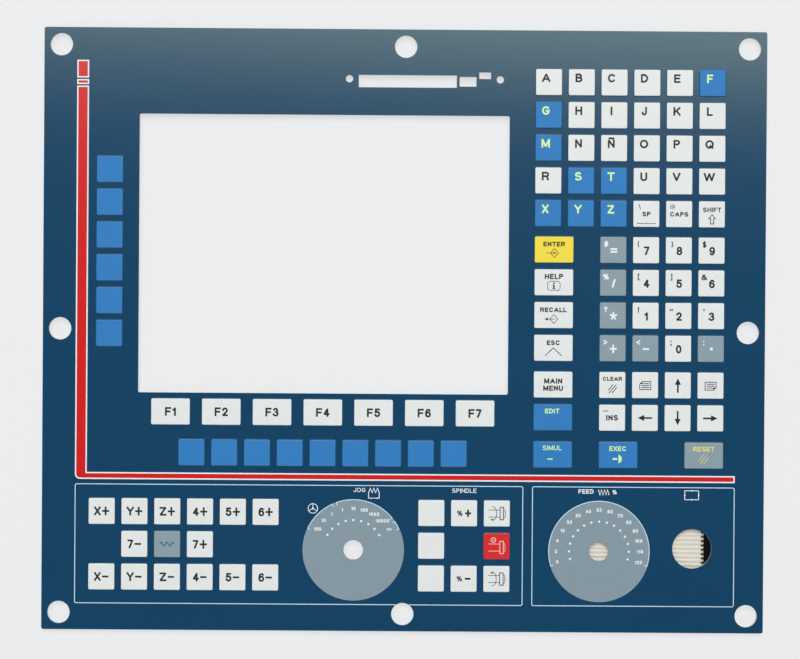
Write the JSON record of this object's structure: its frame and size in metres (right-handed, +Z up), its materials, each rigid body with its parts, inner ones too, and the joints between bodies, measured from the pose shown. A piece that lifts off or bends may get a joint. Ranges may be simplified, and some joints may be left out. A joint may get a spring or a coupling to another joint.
{
  "type": "membrane keypad",
  "caption": "Flat embossed membrane keypad for a machine control, with display window, card slot, letter, number and axis keys, two printed dials, mounting holes and a ribbed tail",
  "frame": {"origin": "under the middle of the sheet, level with the lowest face, which is the foot of the tail connector", "axes": "X runs right along the long side, Y runs towards the top edge of the printed face, Z points up out of the face"},
  "size_m": [0.42, 0.35, 0.0043],
  "materials": {
    "overlay_film": "satin",
    "white_ink": "satin",
    "blue_ink": "satin",
    "grey_ink": "satin",
    "yellow_ink": "satin",
    "red_ink": "satin",
    "clear_adhesive": "satin",
    "spacer_film": "satin",
    "dome_steel": "satin",
    "silver_ink": "satin",
    "circuit_film": "satin",
    "liner_paper": "matte",
    "tail_film": "satin",
    "connector_plastic": "matte",
    "contact_plating": "satin"
  },
  "bodies": {
    "root": {"graphic_overlay": "overlay_film", "white_print": "white_ink", "blue_print": "blue_ink", "grey_print": "grey_ink", "yellow_print": "yellow_ink", "red_print": "red_ink", "overlay_adhesive": "clear_adhesive", "dome_spacer": "spacer_film", "snap_domes": "dome_steel", "silver_contacts": "silver_ink", "circuit_film": "circuit_film", "rear_adhesive": "clear_adhesive", "release_liner": "liner_paper", "flat_tail": "tail_film", "tail_connector": "connector_plastic", "connector_contacts": "contact_plating"}
  },
  "joints": []
}
